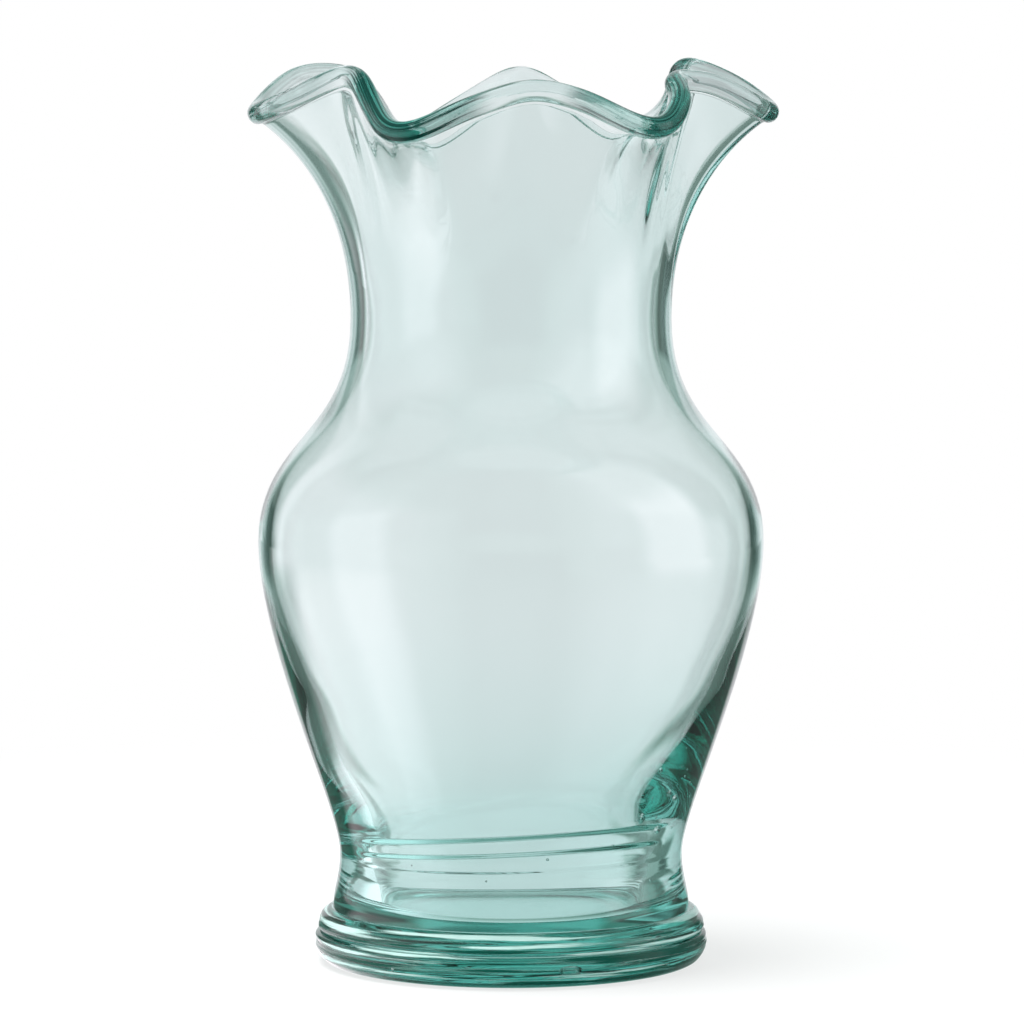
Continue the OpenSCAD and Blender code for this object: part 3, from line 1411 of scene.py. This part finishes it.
    def flare(self, lip: Lip, azimuth: np.ndarray, side: Side) -> np.ndarray:
        """One side of the flare's wall, from the neck up to the lip.

        Args:
            lip: The lip that the wall runs into.
            azimuth: Angles round the vase, in degrees.
            side: The side of the wall.

        Returns:
            Points by angle and step, without the neck's own.
        """
        up, out = lip.directions(azimuth)
        edge = lip.wall_edge(azimuth, side, self.rim_half)
        rise = (edge[:, 2] - self.neck[1])[:, None]
        radius = self.neck[0] - (self.neck_wall if side is Side.INNER else 0.0)
        start = outward(azimuth) * radius + np.array([0.0, 0.0, self.neck[1]])
        first = start + rise * self.neck_lip_shares[0] * np.array([0.0, 0.0, 1.0])
        second = self.blurred(azimuth, edge - rise * self.neck_lip_shares[1] * up)
        early = np.linspace(0.0, 1.0 - self.edge_share, self.flare_steps + 1)[1:]
        late = np.linspace(1.0 - self.edge_share, 1.0, self.edge_steps + 1)[1:]
        steps = []
        for t in np.concatenate([early, late]):
            swell = max(0.0, (t - 1.0 + self.edge_share) / self.edge_share) ** 2
            fillet = side.value * (lip.seat_half - self.rim_half) * swell
            steps.append(bezier(start, first, second, edge, t) + fillet * out)
        return np.stack(steps, axis=1)

    def blurred(self, azimuth: np.ndarray, points: np.ndarray) -> np.ndarray:
        """Points under the lip, evened out round the front so that its ruffles fade below.

        Args:
            azimuth: Angles round the vase, in degrees.
            points: One point for each angle.

        Returns:
            The evened points.
        """
        spread, share = self.ruffle_blur
        share = share * (1 - ease(*self.ruffle_reach, np.abs(wrapped(azimuth))))[:, None]
        radius = np.linalg.norm(points[:, :2], axis=1)
        apart = wrapped(azimuth[:, None] - azimuth)
        weight = np.exp(-((apart / spread) ** 2))
        weight /= weight.sum(axis=1, keepdims=True)
        even = placed(azimuth, weight @ radius, weight @ points[:, 2])
        return points * (1 - share) + even * share

    def turned(self, line: np.ndarray, azimuth: np.ndarray, side: Side) -> np.ndarray:
        """Turns a line of radii and heights, with the waves of the hot glass in it.

        Args:
            line: Rows of radius and height.
            azimuth: Angles round the vase, in degrees.
            side: The side of the wall that the line belongs to.

        Returns:
            Points by angle and row.
        """
        angle, row = np.meshgrid(azimuth, np.arange(len(line)), indexing="ij")
        radius, height = line[row, 0], line[row, 1]
        below_neck = 1 - ease(*self.neck_zone, height)
        if side is Side.OUTER:
            depth = self.outer_depth * ease(*self.outer_start, height) * below_neck
            radius = radius + depth * self.outer_waves.below(angle, height)
            return placed(angle, radius, height)
        lively = (1 - self.calm_share) * (1 - ease(*self.calm_zone, height))
        depth = self.inner_depth * ease(*self.inner_start, height) * below_neck
        depth = depth * (self.calm_share + lively)
        radius = radius + depth * self.inner_waves.at(angle, height)
        apart = np.abs(wrapped(angle))
        in_well = ease(*self.well_start, height) * (1 - ease(*self.well_end, height))
        depth = self.well_depth * in_well * ease(*self.well_back, apart)
        radius = radius + depth * self.well_waves.at(angle, height)
        radius = radius + (1 - ease(*self.fold_span, apart)) * self.fold(height)
        return placed(angle, radius, height + self.tilt(angle, height))

    def build(self, lip: Lip, finish: bpy.types.Material) -> bpy.types.Object:
        """Builds the vessel's closed wall.

        Args:
            lip: The lip that the wall runs into.
            finish: The material of its glass.

        Returns:
            The vessel as a mesh object.
        """
        azimuth = around(self.sectors)
        outer = self.turned(self.outer_line(), azimuth, Side.OUTER)
        inner = self.turned(self.inner_line(), azimuth, Side.INNER)
        rising = self.flare(lip, azimuth, Side.OUTER)
        falling = self.flare(lip, azimuth, Side.INNER)
        sections = np.concatenate([outer, rising, falling[:, ::-1], inner[:, ::-1]], axis=1)
        sides = sections.shape[1]
        middle = [[0.0, 0.0, self.bottom[1]], [0.0, 0.0, self.floor]]
        points = np.concatenate([sections.reshape(-1, 3), middle])
        rim_side = outer.shape[1] + rising.shape[1] - 1
        count = self.sectors * sides
        faces, seams = MeshMaker.skin(
            self.sectors, sides, {0, 1, rim_side}, (count, count + 1), (True, False)
        )
        hollows = self.bubbles.hollows(finish)
        return MeshMaker.make("blown_vessel", points, faces, seams, hollows)

    def dressed(self, lip: Lip, finish: bpy.types.Material) -> bpy.types.Object:
        """The vessel in its glass, tied to the frame."""
        return dress(self.build(lip, finish), "vessel", finish)


@dataclass
class Foot:
    """The ring round the vessel's bottom and the disc below them both.

    Radii, heights and thicknesses are in mm.

    Attributes:
        disc_radius: Radius of the disc.
        disc_height: Height of its top.
        disc_edge: Width and height of the round under its edge.
        low_round: Size of the rounds where disc and ring meet.
        ring_radius: Radius of the ring.
        ring_height: Height of the ring above the disc.
        shoulder: Width of the round on the ring's top.
        bore_radius: Radius of the vessel's bottom, which the ring holds.
        kick_radius: Radius of the hollow under the disc.
        kick_height: Height of that hollow.
        kick_steps: First radius and number of the hollow's rings.
        wall_steps: Rings up the disc's upright edge, with both its ends.
        sectors: Sections round the foot.
        round_steps: Steps round each quarter round.
        gap: Play that keeps two solids apart.
        flow: Fine flow marks round the foot.
        flow_depth: Their depth.
        swell: Broader swells round it.
        swell_depth: Their depth.
        wave_start: Heights over which both come in.
        bubbles: The bubbles in the disc.
        painted_radius: Distances from the axis over which the painted highlights and painted shade
            come in.
        painted_height: Heights over which they come in.
    """

    disc_radius: float = 52.2
    disc_height: float = 8.4
    disc_edge: Pair = (5.6, 5.4)
    low_round: float = 1.4
    ring_radius: float = 51.4
    ring_height: float = 6.1
    shoulder: float = 4.2
    bore_radius: float = 44.6
    kick_radius: float = 36.0
    kick_height: float = 1.6
    kick_steps: tuple[float, int] = (1.5, 16)
    wall_steps: int = 12
    sectors: int = 540
    round_steps: int = 48
    gap: float = 0.02
    flow: Waves = Waves(1.9, 1.8, 21)
    flow_depth: float = 0.05
    swell: Waves = Waves(4.6, 1.6, 33)
    swell_depth: float = 0.22
    wave_start: Pair = (0.0, 1.0)
    bubbles: Bubbles = Bubbles(
        marks=(
            (18.1, 49.3, 4.7, 2.9, 1.2), (-13.0, 49.6, 5.6, 0.9, 0.4),
            (-38.0, 49.4, 4.2, 0.7, 0.4),
        ),
        count=12,
        azimuths=(-180.0, 180.0),
        radii=(46.0, 49.8),
        heights=(3.0, 6.8),
        sizes=(0.15, 0.35),
        seed=5,
    )
    # Where the painted highlights and painted shade cover the foot's outside.
    painted_radius: Pair = (46.5, 49.0)
    painted_height: Pair = (0.3, 1.5)

    def quarter(self, corner: Pair, size: Pair, start: float, end: float) -> np.ndarray:
        """A quarter round between two angles, in degrees above level.

        Args:
            corner: Outer radius and the height of the round's middle.
            size: Width and height of the round.
            start: Angle of the first point.
            end: Angle of the last point.

        Returns:
            Rows of radius and height.
        """
        turn = np.radians(np.linspace(start, end, self.round_steps + 1))
        radius = corner[0] - size[0] + size[0] * np.cos(turn)
        return np.stack([radius, corner[1] + size[1] * np.sin(turn)], axis=1)

    def disc_line(self) -> np.ndarray:
        """The disc's outline from the middle of the hollow below to its flat top.

        Returns:
            Rows of radius and height.
        """
        first, count = self.kick_steps
        reach = np.linspace(first, self.kick_radius, count)
        hollow = self.kick_height * (1 - (reach / self.kick_radius) ** 2)
        top = self.disc_height - self.gap
        wall = np.linspace(self.disc_edge[1], top - self.low_round, self.wall_steps)[1:-1]
        return np.concatenate([
            np.stack([reach, hollow], axis=1),
            self.quarter((self.disc_radius, self.disc_edge[1]), self.disc_edge, -90.0, 0.0),
            [(self.disc_radius, z) for z in wall],
            self.quarter((self.disc_radius, top - self.low_round), (self.low_round,) * 2, 0.0, 90.0),
            [(self.ring_radius - self.low_round, top)],
        ])

    def ring_line(self) -> np.ndarray:
        """The ring's section: its underside, its round outside, its top and its bore.

        Returns:
            Rows of radius and height.
        """
        low = self.disc_height + self.low_round
        size = (self.shoulder, self.ring_height - self.low_round)
        bore = self.bore_radius + self.gap
        return np.concatenate([
            [(bore, self.disc_height)],
            self.quarter((self.ring_radius, low), (self.low_round,) * 2, -90.0, 0.0),
            self.quarter((self.ring_radius, low), size, 0.0, 90.0)[1:],
            [(bore, self.disc_height + self.ring_height)],
        ])

    def turned(self, line: np.ndarray) -> np.ndarray:
        """Turns an outline about the axis, with flow marks round its edge.

        Args:
            line: Rows of radius and height.

        Returns:
            Points, one section after another.
        """
        angle, row = np.meshgrid(around(self.sectors), np.arange(len(line)), indexing="ij")
        radius, height = line[row, 0], line[row, 1]
        outer = line[:, 0].max()
        fade = ease(outer - self.shoulder, outer - self.low_round, radius)
        fade = fade * ease(*self.wave_start, height)
        depth = self.flow_depth * self.flow.below(angle, height)
        depth += self.swell_depth * self.swell.below(angle, height)
        return placed(angle, radius + fade * depth, height).reshape(-1, 3)

    def build_disc(self, finish: bpy.types.Material) -> bpy.types.Object:
        """The disc that the vase stands on, with the bubbles in its glass.

        Args:
            finish: The material of its glass.

        Returns:
            The disc as a mesh object.
        """
        line = self.disc_line()
        middle = [[0.0, 0.0, self.kick_height], [0.0, 0.0, line[-1, 1]]]
        points = np.concatenate([self.turned(line), middle])
        count = self.sectors * len(line)
        faces, seams = MeshMaker.skin(
            self.sectors, len(line), set(), (count, count + 1), (False, True)
        )
        hollows = self.bubbles.hollows(finish)
        piece = MeshMaker.make("foot_base", points, faces, seams, hollows)
        return self.with_painted_tone(piece, inside=len(hollows[0]))

    def build_ring(self) -> bpy.types.Object:
        """The ring round the vessel's bottom, on the disc.

        Returns:
            The ring as a mesh object.
        """
        line = self.ring_line()
        sides = len(line)
        faces, seams = MeshMaker.skin(self.sectors, sides, {0, sides - 2, sides - 1})
        return self.with_painted_tone(MeshMaker.make("foot_collar", self.turned(line), faces, seams))

    def with_painted_tone(self, piece: bpy.types.Object, inside: int = 0) -> bpy.types.Object:
        """Marks where a piece of the foot shows painted highlights and painted shade: round its
        outside.

        Args:
            piece: The piece.
            inside: How many of its last points lie inside the glass.

        Returns:
            The same piece.
        """
        places = places_of(piece.data)
        radius = np.hypot(places[:, 0], places[:, 1])
        depth = ease(*self.painted_radius, radius) * ease(*self.painted_height, places[:, 2])
        depth[len(depth) - inside :] = 0.0
        mark(piece.data, PAINTED_TONE, "FLOAT", "POINT", depth)
        return piece

    def dressed(self, finish: bpy.types.Material) -> list[bpy.types.Object]:
        """The ring and the disc in their glass, tied to the frame.

        Args:
            finish: The material of its glass.

        Returns:
            The ring and the disc.
        """
        return [
            dress(self.build_ring(), "foot_ring", finish),
            dress(self.build_disc(finish), "foot_disc", finish),
        ]


@dataclass
class Studio:
    """A pale floor, soft light round the vase and the photograph's camera.

    Attributes:
        camera_place: Where the photograph's camera stood, in metres.
        camera_aim: What it looked at.
        camera_reach: How far it sees, in metres.
        focal_length: Focal length of the lens, in mm.
        sensor: Width of the sensor, in mm.
        floor_radius: Radius of the floor, in metres.
        floor_sides: Corners of its edge.
        floor_drop: How far it lies under the vase.
        floor_colour: Level of the floor's white.
        floor_glow: Share of the floor that shows as plain white.
        shadow_reach: Where the vase's shadow on the floor starts to fade, and is gone.
        floor_glow_in_glass: Glowing share of the floor where glass shows it, which holds its painted
            light and shade.
        far_floor: Where the floor's painted light starts to take on the studio's light on its side,
            and has it all.
        close_floor: Where the floor stops being close to the vase.
        middle_floor: Where the middle of the floor under the vase stops being even.
        middle_level: Painted brightness of that middle where glass shows it.
        painted_shade_radius: Where the painted shade of the vase on the floor starts and ends.
        painted_shade_level: Brightness of that painted shade where glass shows it.
        light_colour: Tint of the studio's light.
        lamp_colour: Tint of its brightest parts.
        dark_colour: Tint of its dark parts, which green glass gives back.
        bands: Azimuth from the front in degrees and the studio's brightness there.
        painted_floor_bands: Painted light and shade on the floor near the vase where glass shows it,
            by azimuth as above.
        painted_close_bands: The same for the floor right beside the vase.
        band_gain: Brightness that a band of 1 stands for.
        lamp_range: Brightness where the tint of the brightest parts starts and is all there.
        fill: Least brightness above eye level.
        fill_rise: Upward part of a gaze over which that fill comes in.
        ceiling: Brightness overhead.
        ceiling_rise: Upward part of a gaze over which the ceiling comes in.
        lamp_place: Where the overhead lamp hangs.
        lamp_aim: What it shines on.
        lamp_size: Width of the lamp.
        lamp_power: Its power, in watts.
        glass_bounces: How often a ray may bend or be thrown back in thick glass.
        clear_bounces: How often it may pass something transparent.
    """

    camera_place: Triple = (0.0, -2.05, 0.33)
    camera_aim: Triple = (0.00025, 0.0, 0.1195)
    camera_reach: float = 20.0
    focal_length: float = 274.2
    sensor: float = 36.0
    floor_radius: float = 1.2
    floor_sides: int = 128
    floor_drop: float = 0.0002
    floor_colour: float = 0.95
    floor_glow: float = 0.75
    shadow_reach: Pair = (0.2, 0.45)
    floor_glow_in_glass: float = 1.0
    far_floor: Pair = (0.35, 0.9)
    close_floor: Pair = (0.10, 0.135)
    middle_floor: Pair = (0.02, 0.055)
    middle_level: float = 0.95
    # Painted shade of the vase on the floor, seen only through the glass.
    painted_shade_radius: Pair = (0.045, 0.085)
    painted_shade_level: float = 0.95
    light_colour: Triple = (0.98, 0.965, 1.0)
    lamp_colour: Triple = (1.07, 0.985, 1.02)
    dark_colour: Triple = (0.6, 1.0, 0.85)
    bands: tuple[Pair, ...] = (
        (-180, 0.45), (-161, 0.45), (-155, 0.05), (-142, 0.05), (-135, 0.58), (-90, 0.58),
        (-62, 0.56), (-44, 0.42), (-18, 0.1), (-8, 0.04), (22, 0.04), (30, 0.18), (52, 0.1),
        (60, 0.1), (70, 0.72), (97, 0.72), (105, 0.24), (136, 0.24), (142, 0.05), (155, 0.05),
        (161, 0.45), (180, 0.45),
    )
    # Painted pools of light and painted shade on the floor near the vase, seen only through the
    # glass.
    painted_floor_bands: tuple[Pair, ...] = (
        (-180, 0.46), (-152, 0.46), (-147, 0.11), (-120, 0.11), (-108, 0.8), (-62, 0.8),
        (-44, 0.42), (-18, 0.1), (22, 0.06), (52, 0.16), (66, 0.3), (92, 0.3), (104, 0.14),
        (147, 0.1), (153, 0.46), (180, 0.46),
    )
    painted_close_bands: tuple[Pair, ...] = (
        (-180, 0.46), (-139, 0.46), (-136, 0.12), (-131, 0.12), (-128, 0.46), (-120, 0.46),
        (-108, 0.8), (-62, 0.8), (-44, 0.42), (-18, 0.1), (22, 0.05), (52, 0.1), (66, 0.2),
        (108, 0.2), (114, 0.1), (120, 0.1), (125, 0.46), (180, 0.46),
    )
    band_gain: float = 2.0
    lamp_range: Pair = (1.0, 1.8)
    fill: float = 0.4
    fill_rise: Pair = (0.02, 0.12)
    ceiling: float = 0.4
    ceiling_rise: Pair = (0.45, 0.75)
    lamp_place: Triple = (-0.25, -0.1, 1.3)
    lamp_aim: Triple = (0.0, 0.0, 0.1)
    lamp_size: float = 0.9
    lamp_power: float = 26.0
    glass_bounces: int = 48
    clear_bounces: int = 32

    def build(self) -> None:
        """Builds the floor, the light and the camera."""
        self._build_camera()
        self._build_floor()
        self._build_world()
        self._build_lamp()
        self._set_view()

    def _build_camera(self) -> None:
        """Places the camera at the photograph's viewing angle."""
        data = bpy.data.cameras.new("camera")
        data.lens = self.focal_length
        data.sensor_width = self.sensor
        data.clip_end = self.camera_reach
        camera = bpy.data.objects.new("camera", data)
        self._aim(camera, self.camera_place, self.camera_aim)
        bpy.context.scene.camera = camera

    def _aim(self, thing: bpy.types.Object, place: Triple, aim: Triple) -> None:
        """Puts the camera or a lamp in the scene at a place, turned towards another.

        Args:
            thing: The camera or the lamp.
            place: Where it stands.
            aim: What it points at.
        """
        thing.location = place
        thing.rotation_euler = (Vector(aim) - Vector(place)).to_track_quat("-Z", "Y").to_euler()
        bpy.context.scene.collection.objects.link(thing)

    def _through_glass(self, graph: Graph) -> Wire:
        """1 for rays that come by way of a mirror image or through glass.

        Args:
            graph: The node tree.

        Returns:
            1 for such a ray and 0 for another.
        """
        path = graph.node("ShaderNodeLightPath")
        glossy, through = graph.wire(path, "Is Glossy Ray"), graph.wire(path, "Is Transmission Ray")
        return graph.math("MAXIMUM", glossy, through)

    def _tint(self, graph: Graph, straight: Wire, strength: Wire) -> Wire:
        """White for the camera, and the tint of the studio's lights and dark parts.

        Args:
            graph: The node tree.
            straight: 1 for a ray straight from the camera.
            strength: Brightness of the light.

        Returns:
            A colour.
        """
        lit = graph.blend(strength, self.dark_colour, self.light_colour)
        bright = self._smooth(graph, strength, *self.lamp_range)
        lit = graph.blend(bright, lit, self.lamp_colour)
        return graph.blend(straight, lit, WHITE)

    def _side(self, graph: Graph, x: Wire, y: Wire, bands: tuple[Pair, ...]) -> Wire:
        """The studio's brightness on the side where x and y point, from its bands.

        Args:
            graph: The node tree.
            x: How far the place or gaze lies to the right.
            y: How far it lies to the back.
            bands: Azimuths, each with its level.

        Returns:
            The brightness there.
        """
        turn = graph.math("ARCTAN2", x, 0.0 - y) / math.tau + 0.5
        stops = [(azimuth / FULL_TURN + 0.5, level) for azimuth, level in bands]
        return graph.out("ShaderNodeValToRGB", {"stops": stops}, {0: turn}) * self.band_gain

    def _smooth(self, graph: Graph, value: Wire, low: float, high: float) -> Wire:
        """A smooth step that is 0 below low and 1 above high.

        Args:
            graph: The node tree.
            value: The number.
            low: Where the step starts.
            high: Where it ends.

        Returns:
            A level between 0 and 1.
        """
        return graph.out(
            "ShaderNodeMapRange",
            {"interpolation_type": "SMOOTHSTEP"},
            {"Value": value, "From Min": low, "From Max": high},
        )

    def _spot(self, graph: Graph) -> tuple[Wire, Wire]:
        """The shaded place's x and y."""
        place = graph.node("ShaderNodeSeparateXYZ", None, {0: graph.out("ShaderNodeNewGeometry")})
        return graph.wire(place, 0), graph.wire(place, 1)

    def _far(self, graph: Graph, low: float, high: float) -> Wire:
        """A smooth step over the shaded place's distance from the axis."""
        x, y = self._spot(graph)
        return self._smooth(graph, graph.math("POWER", x * x + y * y, 0.5), low, high)

    def _painted_floor_in_glass(self, graph: Graph) -> Wire:
        """The floor's painted light and shade where glass shows it: bright and dark bands round the
        vase, and painted shade below it.

        Args:
            graph: The node tree.

        Returns:
            The brightness there.
        """
        x, y = self._spot(graph)
        far = self._far(graph, *self.far_floor)
        lit = self._far(graph, *self.painted_shade_radius)
        close = self._far(graph, *self.close_floor)
        near_level = self._side(graph, x, y, self.painted_close_bands) * (1.0 - close)
        near_level = near_level + self._side(graph, x, y, self.painted_floor_bands) * close
        level = near_level * (1.0 - far) + self._side(graph, x, y, self.bands) * far
        beside = self._far(graph, *self.middle_floor)
        level = level * beside + (1.0 - beside) * self.middle_level
        return level * (self.painted_shade_level + lit * (1.0 - self.painted_shade_level))

    def _build_floor(self) -> None:
        """A round pale floor that keeps the vase's shadow, and shows painted light and shade through
        the glass.
        """
        turn = np.radians(around(self.floor_sides))
        radius = self.floor_radius
        rim = [(radius * math.cos(angle), radius * math.sin(angle), 0.0) for angle in turn]
        mesh = bpy.data.meshes.new("floor")
        mesh.from_pydata(rim, [], [tuple(range(len(rim)))])
        floor = bpy.data.objects.new("floor", mesh)
        bpy.context.scene.collection.objects.link(floor)
        floor.location.z = -self.floor_drop
        material = bpy.data.materials.new("floor_paper")
        material.use_nodes = True
        graph = Graph(material.node_tree)
        level = (self.floor_colour,) * 3 + (1.0,)
        paper = graph.out("ShaderNodeBsdfDiffuse", None, {"Color": level})
        straight = graph.out("ShaderNodeLightPath", output="Is Camera Ray")
        # Through glass, the floor glows with its painted light and shade rather than its own
        # lighting.
        strength = straight + (1.0 - straight) * self._painted_floor_in_glass(graph)
        values = {"Color": self._tint(graph, straight, strength), "Strength": strength}
        glow = graph.out("ShaderNodeEmission", None, values)
        share = self.floor_glow + (1.0 - self.floor_glow) * self._far(graph, *self.shadow_reach)
        share = straight * share + self._through_glass(graph) * self.floor_glow_in_glass
        mix = graph.out("ShaderNodeMixShader", None, {0: share, 1: paper, 2: glow})
        graph.node("ShaderNodeOutputMaterial", None, {"Surface": mix})
        mesh.materials.append(material)

    def _build_world(self) -> None:
        """White for the camera, and bright and dark bands round the vase for its glass."""
        world = bpy.data.worlds.new("studio")
        bpy.context.scene.world = world
        world.use_nodes = True
        graph = Graph(world.node_tree)
        gaze = graph.out("ShaderNodeTexCoord", output="Generated")
        parts = graph.node("ShaderNodeSeparateXYZ", None, {0: gaze})
        x, y, z = (graph.wire(parts, i) for i in range(3))
        high = self._smooth(graph, z, *self.ceiling_rise)
        fill = self._smooth(graph, z, *self.fill_rise) * self.fill
        light = graph.math("MAXIMUM", self._side(graph, x, y, self.bands), fill)
        light = light * (1.0 - high) + high * self.ceiling
        straight = graph.out("ShaderNodeLightPath", output="Is Camera Ray")
        strength = straight + (1.0 - straight) * light
        values = {"Color": self._tint(graph, straight, strength), "Strength": strength}
        glow = graph.out("ShaderNodeBackground", None, values)
        graph.node("ShaderNodeOutputWorld", None, {"Surface": glow})

    def _build_lamp(self) -> None:
        """A wide soft lamp overhead."""
        data = bpy.data.lights.new("overhead", "AREA")
        data.shape = "DISK"
        data.size = self.lamp_size
        data.energy = self.lamp_power
        lamp = bpy.data.objects.new("overhead", data)
        lamp.visible_camera = False
        lamp.visible_glossy = False
        lamp.visible_transmission = False
        self._aim(lamp, self.lamp_place, self.lamp_aim)

    def _set_view(self) -> None:
        """Plain colour, and enough bounces for thick glass."""
        scene = bpy.context.scene
        scene.view_settings.view_transform = "Standard"
        cycles = scene.cycles
        cycles.max_bounces = self.glass_bounces
        cycles.transmission_bounces = self.glass_bounces
        cycles.glossy_bounces = self.glass_bounces
        cycles.transparent_max_bounces = self.clear_bounces


def main() -> None:
    """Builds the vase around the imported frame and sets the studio."""
    logging.basicConfig(level=logging.INFO, format="%(message)s")
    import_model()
    Studio().build()
    finishes = (LIP_GLASS, VESSEL_GLASS, FOOT_GLASS)
    lip_glass, vessel_glass, foot_glass = (finish.make() for finish in finishes)
    lip = Lip()
    pieces = [
        lip.dressed(lip_glass),
        Vessel().dressed(lip, vessel_glass),
        *Foot().dressed(foot_glass),
    ]
    for piece in pieces:
        LOG.info("%s: %d faces", piece.name, len(piece.data.polygons))


if __name__ == "__main__":
    main()
